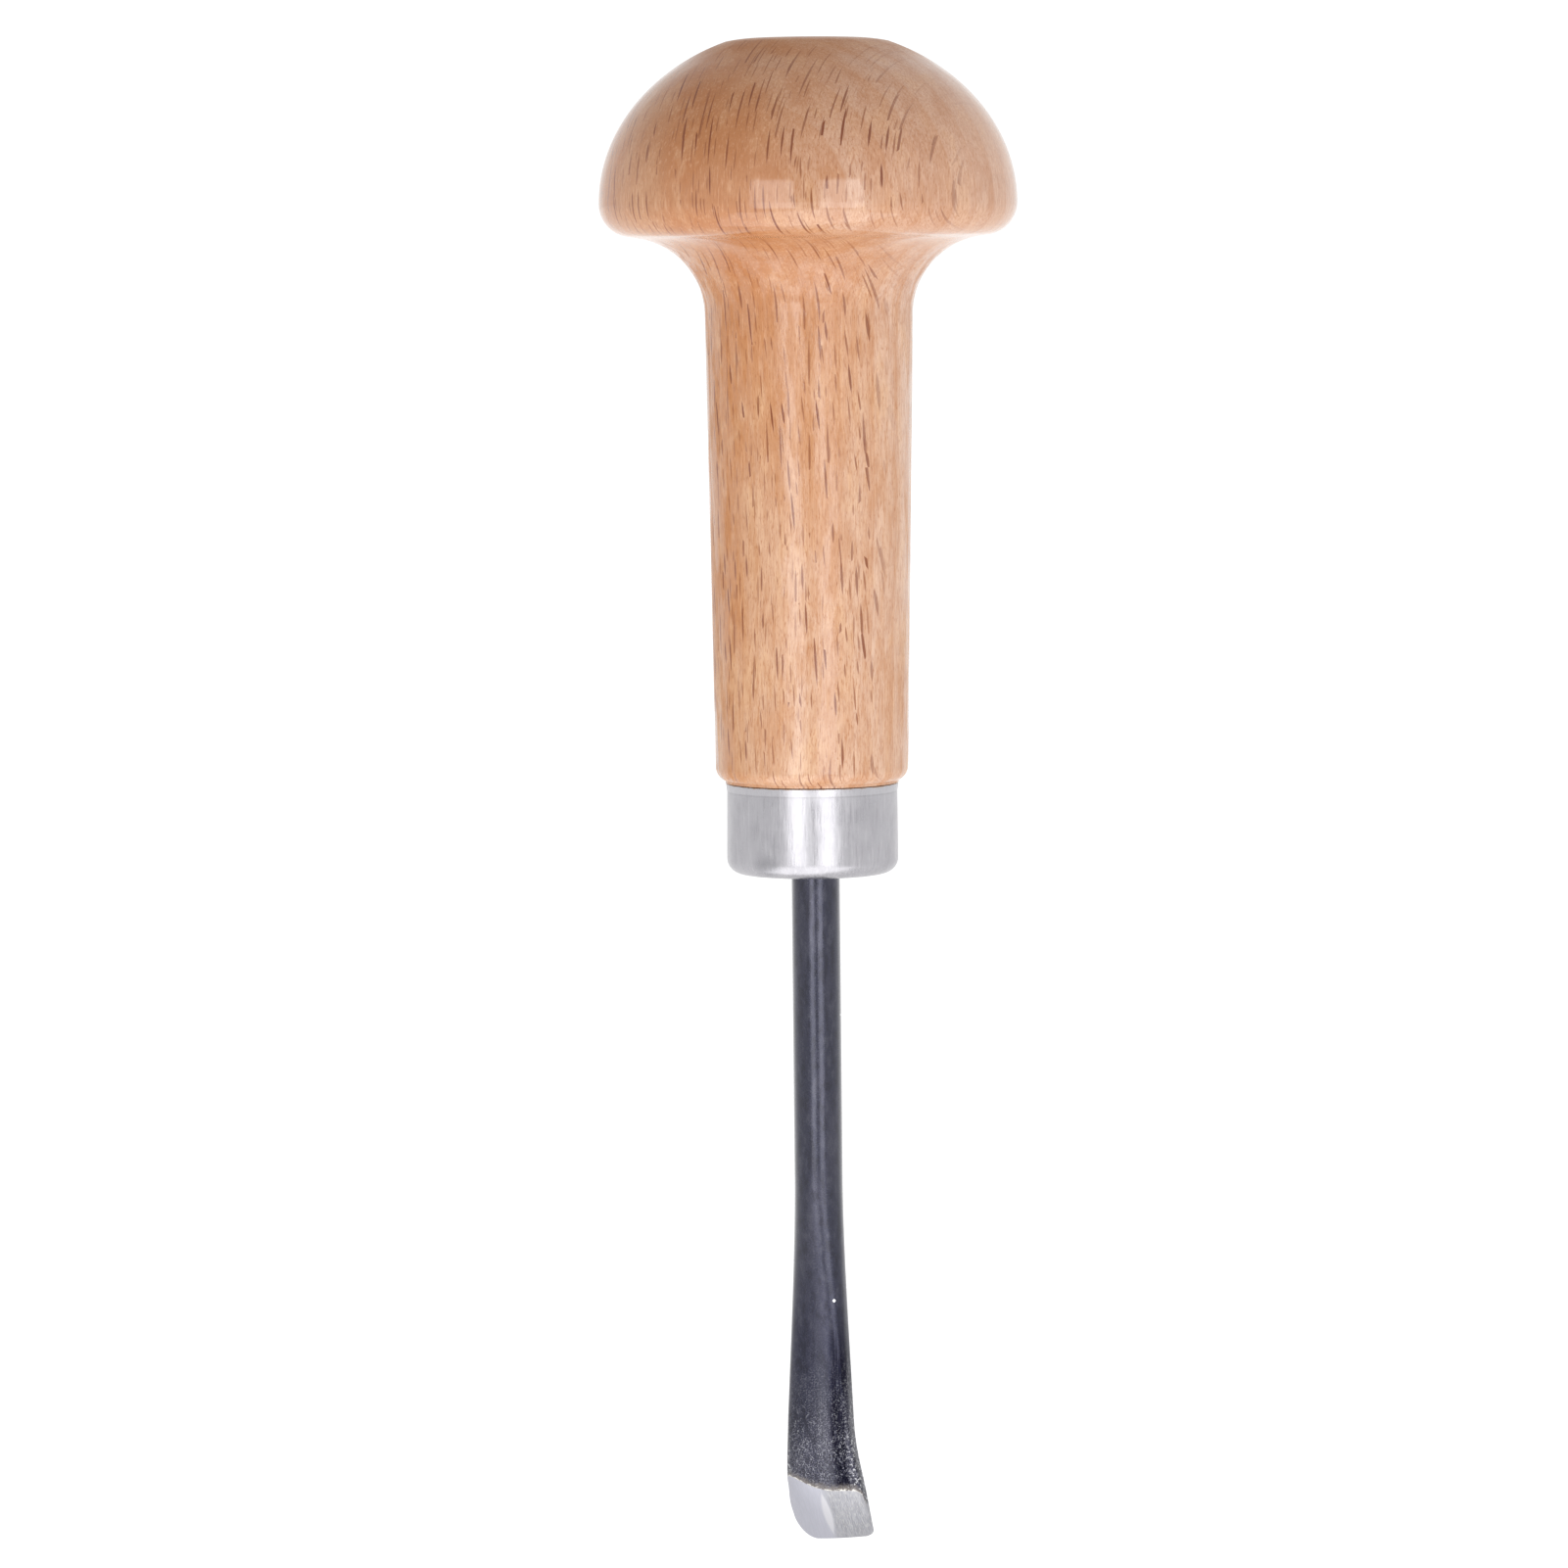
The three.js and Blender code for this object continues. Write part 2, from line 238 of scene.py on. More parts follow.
def turned(name, profile, closed=False):
    """A lathe of [radius, depth] points. An open profile starts and ends on the axis."""
    points, rings = [], []
    for radius, depth in profile:
        count = AROUND if radius > 0 else 1
        rings.append(range(len(points), len(points) + count))
        for i in range(count):
            angle = 2 * math.pi * i / AROUND
            points.append((radius * math.sin(angle), -radius * math.cos(angle), -depth))
    faces = []
    pairs = list(zip(rings, rings[1:]))
    if closed:
        pairs.append((rings[-1], rings[0]))
    for upper, lower in pairs:
        for i in range(AROUND):
            j = (i + 1) % AROUND
            if len(upper) == 1:
                faces.append((upper[0], lower[i], lower[j]))
            elif len(lower) == 1:
                faces.append((upper[i], lower[0], upper[j]))
            else:
                faces.append((upper[i], lower[i], lower[j], upper[j]))
    return mesh_object(name, points, faces)


def finish_shading(piece, sharp_angle):
    """Smooth shading that stays crisp where faces meet at more than sharp_angle degrees."""
    mesh = piece.data
    mesh.polygons.foreach_set("use_smooth", [True] * len(mesh.polygons))
    mesh.set_sharp_from_angle(angle=math.radians(sharp_angle))


# ---------------------------------------------------------------------------------------- shapes


def head_profile(head_radius):
    """Palm flat, softly crowned border and elliptical dome, from the axis out to the rim."""
    border = []
    for i in range(BORDER_STEPS):
        radius = lerp(PALM_FLAT_RADIUS, PALM_EDGE_RADIUS, i / BORDER_STEPS)
        crown = math.sqrt(PALM_BORDER_RADIUS**2 - (radius - PALM_FLAT_RADIUS) ** 2)
        border.append((radius, PALM_BORDER_RADIUS - crown))
    edge_angle = math.acos(PALM_EDGE_RADIUS / head_radius)
    dome = []
    for i in range(DOME_STEPS + 1):
        angle = edge_angle * (1 - i / DOME_STEPS)
        depth = DOME_DEPTH - DOME_SEMI_AXIS * math.sin(angle)
        dome.append((head_radius * math.cos(angle), depth))
    return [(0, 0), (PALM_FLAT_RADIUS / 2, 0), *border, *dome]


def neck_profile(head_radius):
    """The rim's rounded corner, then the cove, which starts on their common tangent."""
    corner_centre = head_radius - RIM_CORNER_RADIUS
    cove_centre = NECK_RADIUS + COVE_RADIUS
    across = cove_centre - corner_centre
    down = NECK_DEPTH - DOME_DEPTH
    lean = math.acos((RIM_CORNER_RADIUS + COVE_RADIUS) / math.hypot(across, down))
    tangent = math.atan2(down, across) - lean
    corner = arc_points(corner_centre, DOME_DEPTH, RIM_CORNER_RADIUS, 0, tangent, RIM_STEPS)
    cove_start = tangent + math.pi
    cove = arc_points(cove_centre, NECK_DEPTH, COVE_RADIUS, cove_start, math.pi, COVE_STEPS)
    return corner[1:] + cove


def make_handle():
    low, high = (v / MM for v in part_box("handle"))
    head_radius = (high.x - low.x) / 2
    tenon_end = high.z - low.z
    shoulder = SHOULDER_DEPTH + LACQUER_EDGE
    neck = neck_profile(head_radius)
    foot = arc_points(
        FOOT_RADIUS - FOOT_CORNER_RADIUS,
        SHOULDER_DEPTH - FOOT_CORNER_RADIUS,
        FOOT_CORNER_RADIUS,
        0,
        math.radians(FOOT_ARC_DEGREES),
        FOOT_STEPS,
    )
    profile = [
        *head_profile(head_radius),
        *neck,
        *line_points(neck[-1], foot[0], STEM_STEPS),
        *foot,
        (foot[-1][0], shoulder),
        (TENON_RADIUS, shoulder),
        (TENON_RADIUS, tenon_end - TENON_CHAMFER),
        (TENON_RADIUS - TENON_CHAMFER, tenon_end),
        (BORE_RADIUS, tenon_end),
        (BORE_RADIUS, BORE_TOP_DEPTH),
        (0, BORE_TOP_DEPTH - BORE_POINT_HEIGHT),
    ]
    piece = turned("handle_beech", profile)
    piece.data.transform(Matrix.Translation((0, 0, high.z * MM)))
    finish_shading(piece, TURNED_SHARP_DEGREES)
    return piece


def make_ferrule():
    low, high = (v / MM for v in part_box("ferrule"))
    height = high.z - low.z
    lip_centre = (high.x - low.x) / 2 - LIP_ROUNDING
    lip = arc_points(lip_centre, LIP_ROUNDING, LIP_ROUNDING, -math.pi / 2, 0, LIP_STEPS)
    wall_top = (FERRULE_RADIUS, FERRULE_LIP_HEIGHT)
    bore_radius = FERRULE_RADIUS - FERRULE_WALL
    corner_centre = FERRULE_BASE_RADIUS - FERRULE_CORNER_RADIUS
    corner_depth = height - FERRULE_CORNER_RADIUS
    outer_corner = arc_points(
        corner_centre, corner_depth, FERRULE_CORNER_RADIUS, 0, math.pi / 2, OUTER_CORNER_STEPS
    )
    inner_radius = FERRULE_CORNER_RADIUS - FERRULE_WALL
    inner_corner = arc_points(
        corner_centre, corner_depth, inner_radius, math.pi / 2, 0, INNER_CORNER_STEPS
    )
    profile = [
        (bore_radius, 0),
        *lip,
        wall_top,
        *line_points(wall_top, outer_corner[0], WALL_STEPS),
        *outer_corner,
        (FERRULE_HOLE_RADIUS, height),
        (FERRULE_HOLE_RADIUS, height - FERRULE_WALL),
        *inner_corner,
        (bore_radius, FERRULE_LIP_HEIGHT),
    ]
    piece = turned("ferrule_cup", profile, closed=True)
    piece.data.transform(Matrix.Translation((0, 0, high.z * MM)))
    finish_shading(piece, TURNED_SHARP_DEGREES)
    return piece


def bend_shift(depth):
    """The centreline follows an arc towards +Y, then runs straight on at the arc's last slope."""
    on_arc = clamp(depth, BEND_START_DEPTH, BEND_END_DEPTH) - BEND_START_DEPTH
    beyond = max(0, depth - BEND_END_DEPTH)
    return on_arc**2 / (2 * BEND_RADIUS) + beyond * on_arc / BEND_RADIUS


def blade_section(
    depth, half_width, half_thickness, crown, hollow, exponent, shift, middle_x=0, left_rise=0
):
    """A superellipse with a crowned back (-Y) and a hollow front (+Y) that may rise on the left."""
    ring = []
    for i in range(SECTION_POINTS):
        angle = 2 * math.pi * i / SECTION_POINTS
        cosine, sine = math.cos(angle), math.sin(angle)
        across = math.copysign(abs(cosine) ** exponent, cosine)
        through = math.copysign(abs(sine) ** exponent, sine)
        middle = 1 - across**2
        rise = left_rise * max(0, -across) ** 2
        reach = half_thickness + (crown * middle if through < 0 else rise - hollow * middle)
        ring.append((middle_x + half_width * across, shift + through * reach, -depth))
    return ring


def forged_section(depth):
    span = FORGE_END_DEPTH - FORGE_START_DEPTH
    forged = clamp((depth - FORGE_START_DEPTH) / span, 0, 1)
    squared = smoothstep(forged, 0, 1)
    splay = smoothstep(depth, SPLAY_START_DEPTH, SPLAY_END_DEPTH)
    spread = lerp(SHANK_RADIUS, TIP_HALF_WIDTH, forged**FORGE_SPREAD_POWER)
    flare = LEFT_FLARE * smoothstep(depth, LEFT_FLARE_START_DEPTH, LEFT_FLARE_END_DEPTH)
    return blade_section(
        depth,
        spread + TIP_SPLAY * splay + flare / 2,
        lerp(SHANK_RADIUS, TIP_EDGE_HALF_THICKNESS, forged),
        TIP_BACK_CROWN * forged,
        TIP_FRONT_HOLLOW * squared,
        lerp(ROUND_EXPONENT, SQUARE_EXPONENT, squared),
        bend_shift(depth),
        -flare / 2,
        LEFT_RISE * smoothstep(depth, LEFT_RISE_START_DEPTH, LEFT_RISE_END_DEPTH),
    )


def tang_section(depth, half):
    return blade_section(depth, half, half, 0, 0, SQUARE_EXPONENT, 0)


def round_section(depth):
    return blade_section(depth, SHANK_RADIUS, SHANK_RADIUS, 0, 0, ROUND_EXPONENT, 0)


def loft(name, sections):
    """Equal rings of points from the top down, closed by a flat cap at each end."""
    count = len(sections[0])
    points = [p for ring in sections for p in ring]
    faces = []
    for ring in range(len(sections) - 1):
        base = ring * count
        for i in range(count):
            j = (i + 1) % count
            faces.append((base + i, base + count + i, base + count + j, base + j))
    last = (len(sections) - 1) * count
    faces.append(tuple(range(count)))
    faces.append(tuple(last + count - 1 - i for i in range(count)))
    return mesh_object(name, points, faces)


def prism(name, outline, length):
    """An outline of (x, y) points, counter-clockwise, extruded from z = 0 up to length."""
    count = len(outline)
    points = [(x, y, 0) for x, y in outline] + [(x, y, length) for x, y in outline]
    faces = [tuple(reversed(range(count))), tuple(range(count, 2 * count))]
    for i in range(count):
        j = (i + 1) % count
        faces.append((i, j, count + j, count + i))
    return mesh_object(name, points, faces)


def tip_outline():
    """The blade seen from its front, down to a slightly skewed edge with two rounded corners."""
    clearance = 0.01
    right_x = TIP_HALF_WIDTH + TIP_SPLAY + clearance
    left_x = -right_x - LEFT_FLARE
    thickness = 20
    left_z = -EDGE_DEPTH + EDGE_SKEW * left_x
    right_z = -EDGE_DEPTH + EDGE_SKEW * right_x

    def corner(x, z, radius, start):
        quarter = math.pi / 2
        angles = [start + quarter * i / TIP_CORNER_STEPS for i in range(TIP_CORNER_STEPS + 1)]
        return [(x + radius * math.cos(a), z + radius * math.sin(a)) for a in angles]

    left_centre = (left_x + LEFT_CORNER_RADIUS, left_z + LEFT_CORNER_RADIUS)
    right_centre = (right_x - RIGHT_CORNER_RADIUS, right_z + RIGHT_CORNER_RADIUS)
    outline = [
        (left_x, 0),
        *corner(*left_centre, LEFT_CORNER_RADIUS, math.pi),
        *corner(*right_centre, RIGHT_CORNER_RADIUS, 1.5 * math.pi),
        (right_x, 0),
    ]
    cutter = prism("tip_outline", outline, thickness)
    turn = Matrix.Rotation(math.pi / 2, 4, "X")
    back = Matrix.Translation((0, 0, -thickness / 2 * MM))
    cutter.data.transform(turn @ back)
    return cutter


def bevel_remover():
    """Everything outside a cylinder of BEVEL_RADIUS that lies along the bevel's slope."""
    reach, clear = 6, 15
    above, below = 6, 12
    sweep = math.asin(reach / BEVEL_RADIUS)
    angles = [lerp(-sweep, sweep, i / BEVEL_STEPS) for i in range(BEVEL_STEPS + 1)]
    arc = [
        (BEVEL_RADIUS * math.sin(a), BEVEL_RADIUS * math.cos(a) - BEVEL_RADIUS) for a in angles
    ]
    outline = [*arc, (reach, clear), (-reach, clear)]
    cutter = prism("bevel_remover", outline, above + below)
    up_slope = Vector((0, -BEVEL_SLOPE, 1)).normalized()
    outward = Vector((0, -1, -BEVEL_SLOPE)).normalized()
    sideways = outward.cross(up_slope)
    frame = Matrix((sideways, outward, up_slope)).transposed().to_4x4()
    place = Matrix.Translation(BEVEL_HEEL * MM)
    drop = Matrix.Translation((0, 0, -below * MM))
    cutter.data.transform(place @ frame @ drop)
    return cutter


def cut(piece, cutter, operation):
    """Applies a boolean at once, and removes the cutter."""
    modifier = piece.modifiers.new("cut", "BOOLEAN")
    modifier.operation = operation
    modifier.solver = "EXACT"
    modifier.object = cutter
    bpy.context.view_layer.update()
    evaluated = piece.evaluated_get(bpy.context.evaluated_depsgraph_get())
    result = bpy.data.meshes.new_from_object(evaluated)
    piece.modifiers.clear()
    piece.data = result
    bpy.data.objects.remove(cutter)


def make_blade():
    tang_top = -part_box("blade")[1].z / MM
    overrun = 1.5
    shank_span = (SHANK_TOP_DEPTH, FORGE_START_DEPTH)
    forge_span = (FORGE_START_DEPTH, BEND_START_DEPTH)
    bend_span = (BEND_START_DEPTH, EDGE_DEPTH + overrun)
    shank = [lerp(*shank_span, i / SHANK_STEPS) for i in range(SHANK_STEPS)]
    forge = [lerp(*forge_span, i / FORGE_STEPS) for i in range(FORGE_STEPS)]
    bend = [lerp(*bend_span, i / BEND_STEPS) for i in range(BEND_STEPS + 1)]
    sections = [
        tang_section(tang_top, TANG_TOP_HALF),
        tang_section(TANG_BASE_DEPTH, TANG_BASE_HALF),
        *[round_section(depth) for depth in shank],
        *[forged_section(depth) for depth in forge + bend],
    ]
    piece = loft("blade_steel", sections)
    cut(piece, tip_outline(), "INTERSECT")
    cut(piece, bevel_remover(), "DIFFERENCE")
    piece.data.name = "blade_steel"
    lean = Matrix.Rotation(-BLADE_LEAN, 4, "Y")
    piece.data.transform(Matrix.Translation((BLADE_OFFSET * MM, 0, 0)) @ lean)
    finish_shading(piece, BLADE_SHARP_DEGREES)
    return piece


# ------------------------------------------------------------------------------------- materials


class NodeBuilder:
    """Adds shader nodes with short calls. Most of them return the new node's output socket."""

    def __init__(self, tree):
        self.tree = tree

    def node(self, kind, **settings):
        made = self.tree.nodes.new("ShaderNode" + kind)
        for name, value in settings.items():
            setattr(made, name, value)
        return made

    def feed(self, socket, value):
        if isinstance(value, bpy.types.NodeSocket):
            self.tree.links.new(value, socket)
        else:
            socket.default_value = value

    def math(self, operation, *values, clamped=False):
        node = self.node("Math", operation=operation, use_clamp=clamped)
        for socket, value in zip(node.inputs, values):
            self.feed(socket, value)
        return node.outputs[0]

    def vector(self, operation, first, second=None, scale=None):
        node = self.node("VectorMath", operation=operation)
        self.feed(node.inputs[0], first)
        if second is not None:
            self.feed(node.inputs[1], second)
        if scale is not None:
            self.feed(node.inputs["Scale"], scale)
        return node.outputs["Value" if operation in ("LENGTH", "DOT_PRODUCT") else 0]

    def split(self, vector):
        node = self.node("SeparateXYZ")
        self.feed(node.inputs[0], vector)
        return node.outputs

    def join(self, x, y, z):
        node = self.node("CombineXYZ")
        for socket, value in zip(node.inputs, (x, y, z)):
            self.feed(socket, value)
        return node.outputs[0]

    def noise(self, vector, scale=1.0, detail=2.0, roughness=0.5):
        node = self.node("TexNoise")
        self.feed(node.inputs["Vector"], vector)
        node.inputs["Scale"].default_value = scale
        node.inputs["Detail"].default_value = detail
        node.inputs["Roughness"].default_value = roughness
        return node.outputs["Fac"]

    def stretched_noise(self, place, frequency, detail=2.0, roughness=0.5):
        """Noise with its own frequency, per millimetre, along each of X, Y and Z."""
        return self.noise(self.vector("MULTIPLY", place, frequency), 1, detail, roughness)

    def cells(self, vector):
        """The point of the nearest unit cell, and that cell's random colour."""
        node = self.node("TexVoronoi")
        self.feed(node.inputs["Vector"], vector)
        node.inputs["Scale"].default_value = 1
        return node.outputs["Position"], node.outputs["Color"]

    def fade(self, value, start, end, low=0.0, high=1.0):
        """low at start and high at end, smooth between them."""
        node = self.node("MapRange", interpolation_type="SMOOTHSTEP")
        names = ("Value", "From Min", "From Max", "To Min", "To Max")
        for name, item in zip(names, (value, start, end, low, high)):
            self.feed(node.inputs[name], item)
        return node.outputs[0]

    def band(self, value, start, full, hold, end):
        """0 outside start and end, and 1 between full and hold."""
        return self.math("MULTIPLY", self.fade(value, start, full), self.fade(value, end, hold))

    def mix(self, factor, first, second, blend="MIX"):
        node = self.node("Mix", data_type="RGBA", blend_type=blend)
        self.feed(node.inputs["Factor"], factor)
        sockets = [s for s in node.inputs if s.type == "RGBA"]
        for socket, colour in zip(sockets, (first, second)):
            is_link = isinstance(colour, bpy.types.NodeSocket)
            self.feed(socket, colour if is_link else (*colour, 1))
        return [s for s in node.outputs if s.type == "RGBA"][0]

    def mix_value(self, factor, first, second):
        node = self.node("Mix")
        for index, value in ((0, factor), (2, first), (3, second)):
            self.feed(node.inputs[index], value)
        return node.outputs[0]

    def bump(self, height, distance, normal=None):
        node = self.node("Bump")
        self.feed(node.inputs["Height"], height)
        node.inputs["Distance"].default_value = distance * MM
        node.inputs["Strength"].default_value = 1
        if normal is not None:
            self.feed(node.inputs["Normal"], normal)
        return node.outputs[0]


class Shader(NodeBuilder):
    """One material's node tree. Positions and lengths are in millimetres."""

    def __init__(self, name):
        self.material = bpy.data.materials.new(name)
        self.material.use_nodes = True
        super().__init__(self.material.node_tree)
        self.tree.nodes.clear()
        coordinates = self.node("TexCoord").outputs["Object"]
        self.position = self.vector("SCALE", coordinates, scale=1 / MM)
        self.x, self.y, self.z = self.split(self.position)

    def facing(self, axis):
        """How squarely the surface faces along X, Y or Z (0, 1 or 2), from 0 to 1."""
        normal = self.node("NewGeometry").outputs["Normal"]
        return self.math("ABSOLUTE", self.split(normal)[axis])

    def surface(self, **inputs):
        node = self.node("BsdfPrincipled")
        for name, value in inputs.items():
            self.feed(node.inputs[name.replace("_", " ")], value)
        output = self.node("OutputMaterial")
        self.tree.links.new(node.outputs[0], output.inputs["Surface"])
        return self.material


def ray_flecks(s, place, cell, half_width, half_height, share, lean):
    """Thin lens-shaped sheets that run far along Y, as beech's medullary rays do.

    place is the wood's own coordinates, cell the spacing of the sheets, share how many of the cells
    hold one, and lean the mean slope of the sheets off the vertical.
    """
    scaled = s.vector("DIVIDE", place, cell)
    nearest, colour = s.cells(scaled)
    offset = s.vector("MULTIPLY", s.vector("SUBTRACT", scaled, nearest), cell)
    dx, _, dz = s.split(offset)
    size, chosen, tilt = s.split(colour)
    height = s.math("MULTIPLY_ADD", size, half_height * 0.9, half_height * 0.55)
    slope = s.math("MULTIPLY_ADD", tilt, 0.12, lean - 0.06)
    dx = s.math("ADD", dx, s.math("MULTIPLY", dz, slope))
    along = s.math("DIVIDE", dz, height)
    belly = s.math("SUBTRACT", 1, s.math("MULTIPLY", along, along), clamped=True)
    width = s.math("MULTIPLY", belly, half_width)
    fine = s.math("SUBTRACT", width, s.math("ABSOLUTE", dx))
    body = s.fade(fine, -0.15 * half_width, 0.35 * half_width)
    there = s.math("LESS_THAN", chosen, share)
    strength = s.math("MULTIPLY_ADD", tilt, 0.4, 0.6)
    # Seen edge on they are dark, and seen from the side they hardly show.
    strength = s.math("MULTIPLY", strength, s.fade(s.facing(1), 0.12, 0.65, 0.12, 1))
    return s.math("MULTIPLY", s.math("MULTIPLY", body, there), strength)


def wandering_grain(s):
    """The wood's own coordinates: the grain wanders a little on its way down the handle."""
    drift = s.vector("MULTIPLY", s.position, (0.06, 0.06, 0.022))
    elsewhere = s.vector("ADD", drift, (7, 3, 5))
    sway = [s.math("MULTIPLY_ADD", s.noise(v, 1, 1), 2.4, -1.2) for v in (drift, elsewhere)]
    return s.vector("ADD", s.position, s.join(*sway, 0))


def bare_beech(s, place, fibres, pores):
    """The wood's colour, from its slow drift across the handle down to rings, pores and rays."""
    # Warmer wood towards the heart, which lies on the left, and paler on the right; the paler right
    # side is partly painted light, as if lit more strongly from there.
    broad = s.stretched_noise(place, (0.13, 0.16, 0.02))
    across = s.vector("DOT_PRODUCT", s.position, tuple(round_direction(VIEW_AZIMUTH + 90)))
    sapwood_and_side_light = s.fade(s.math("MULTIPLY_ADD", broad, 6, across), -9, 14)
    warm = s.mix(s.fade(broad, 0.35, 0.68), (0.425, 0.172, 0.055), (0.49, 0.265, 0.135))
    pale = s.mix(s.fade(broad, 0.35, 0.68), (0.54, 0.33, 0.215), (0.59, 0.41, 0.315))
    tone = s.mix(sapwood_and_side_light, warm, pale)
    # Cloudy figure, a few millimetres across.
    figure = s.stretched_noise(place, (0.42, 0.42, 0.2), 3, 0.6)
    tone = s.mix(s.fade(figure, 0.48, 0.68, 0, 0.4), tone, (0.40, 0.165, 0.055))
    tone = s.mix(s.fade(figure, 0.5, 0.34, 0, 0.42), tone, (0.60, 0.37, 0.215))
    # The head is darker and redder than the stem.
    tone = s.mix(s.fade(s.z, -27, -20), tone, (0.89, 0.81, 0.755), "MULTIPLY")

    # Growth rings: sheets across Y, each darkening slowly and ending sharply.
    ring_phase = s.math("FRACT", s.math("MULTIPLY_ADD", s.split(place)[1], 1 / RING_SPACING, 40.3))
    latewood = s.band(ring_phase, 0.45, 0.93, 0.95, 1.0)
    tone = s.mix(s.math("MULTIPLY", latewood, 0.42), tone, (0.42, 0.19, 0.085))
    tone = s.mix(s.fade(fibres, 0.42, 0.7, 0, 0.46), tone, (0.38, 0.16, 0.06))
    tone = s.mix(s.fade(fibres, 0.5, 0.25, 0, 0.3), tone, (0.68, 0.42, 0.26))
    tone = s.mix(s.fade(pores, 0.53, 0.72, 0, 0.66), tone, (0.34, 0.13, 0.045))

    # Rays, small, medium and large: shift of the pattern, the arguments of ray_flecks, strength
    # and colour.
    for shift, rays, strength, colour in (
        ((63, 29, 41), ((0.45, 20, 1.2), 0.05, 0.5, 0.6, 0.0), 0.4, (0.27, 0.085, 0.025)),
        ((31, 11, 17), ((0.9, 30, 2.6), 0.07, 1.0, 0.55, 0.03), 0.8, (0.20, 0.055, 0.014)),
        ((0, 0, 0), ((1.3, 40, 4.2), 0.1, 1.75, 0.52, 0.03), 1, (0.165, 0.036, 0.007)),
    ):
        flecks = ray_flecks(s, s.vector("ADD", place, shift), *rays)
        tone = s.mix(s.math("MULTIPLY", flecks, strength), tone, colour)
    return tone


def lacquered_beech():
    s = Shader("lacquered_beech")
    place = wandering_grain(s)
    fibres = s.stretched_noise(place, (5, 5, 0.5), 3, 0.6)
    pores = s.stretched_noise(place, (10, 10, 1.8))
    swell = s.stretched_noise(place, (0.55, 0.55, 0.06))
    ridges = s.math("MULTIPLY_ADD", pores, 0.6, fibres)

    # The lacquer follows the grain closely on the stem and is thicker and smoother on the head.
    stem = s.fade(s.z, -17.5, -21)
    grain_lines = s.stretched_noise(place, (9, 9, 1.5), 2, 0.6)
    brushed = s.math("MULTIPLY", grain_lines, s.math("MULTIPLY_ADD", stem, 0.75, 0.25))
    # It has gone dull in patches on the stem, and where the palm presses.
    patches = s.stretched_noise(place, (0.9, 0.9, 0.13), 3, 0.6)
    thin = s.math("MULTIPLY", s.fade(patches, 0.54, 0.42), s.math("MULTIPLY", stem, 0.55))
    palm_wear = s.fade(s.z, -3, -0.8, 0, 0.7)
    return s.surface(
        Base_Color=bare_beech(s, place, fibres, pores),
        Roughness=s.fade(fibres, 0.3, 0.7, 0.36, 0.48),
        Normal=s.bump(swell, 0.04, s.bump(ridges, 0.014)),
        Specular_IOR_Level=0,
        Coat_Weight=s.math("SUBTRACT", 1, s.math("MAXIMUM", thin, palm_wear)),
        Coat_IOR=1.65,
        Coat_Roughness=0.1,
        Coat_Normal=s.bump(swell, 0.05, s.bump(brushed, 0.0125)),
    )


def plated_steel():
    s = Shader("plated_steel")
    low, high = (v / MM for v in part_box("ferrule"))
    lip_line = high.z - FERRULE_LIP_HEIGHT
    drawn = s.stretched_noise(s.position, (4.5, 4.5, 0.4), 3, 0.55)
    haze = s.noise(s.position, 0.45, 3)
    grit = s.noise(s.position, 9, 2)
    tone = s.mix(s.fade(haze, 0.35, 0.7), (0.415, 0.407, 0.43), (0.37, 0.362, 0.385))
    tone = s.mix(s.fade(grit, 0.58, 0.8, 0, 0.5), tone, (0.27, 0.265, 0.29))
    tone = s.mix(s.fade(drawn, 0.5, 0.75, 0, 0.5), tone, (0.54, 0.53, 0.55))
    tone = s.mix(s.fade(drawn, 0.45, 0.25, 0, 0.5), tone, (0.30, 0.295, 0.315))

    # A painted highlight on the rounded lip, with a fine line of painted shade in the crease under
    # it.
    tone = s.mix(s.fade(s.z, lip_line, lip_line + 0.15, 0, 0.3), tone, (0.56, 0.55, 0.57))
    # Painted shade: a fine dark line in the crease under the lip.
    lip_crease_distance = s.math("ABSOLUTE", s.math("SUBTRACT", s.z, lip_line))
    tone = s.mix(s.fade(lip_crease_distance, 0.1, 0.03, 0, 0.2), tone, (0.2, 0.195, 0.2))

    # A painted dark reflection low on the wall, and old lacquer along the lip under the wood.
    away = s.vector("SUBTRACT", s.position, (-0.9, -FERRULE_BASE_RADIUS, low.z + 1.1))
    reach = s.vector("LENGTH", s.vector("MULTIPLY", away, (0.75, 0.75, 1.0)))
    # Painted reflection: a dark grey patch low on the wall.
    rubbed = s.fade(s.math("MULTIPLY_ADD", haze, 1.2, reach), 2.0, 0.9, 0, 0.45)
    tone = s.mix(rubbed, tone, (0.20, 0.20, 0.215))
    edge = s.math("MULTIPLY_ADD", s.noise(s.position, 1.6, 2), 0.5, s.z)
    stained = s.fade(edge, high.z + 0.1, high.z + 0.3, 0, 0.7)
    tone = s.mix(stained, tone, (0.36, 0.22, 0.11))

    relief = s.math("MULTIPLY_ADD", grit, 0.3, drawn)
    return s.surface(
        Base_Color=tone,
        Metallic=1.0,
        Roughness=s.fade(drawn, 0.3, 0.7, 0.26, 0.33),
        Normal=s.bump(relief, 0.013),
    )


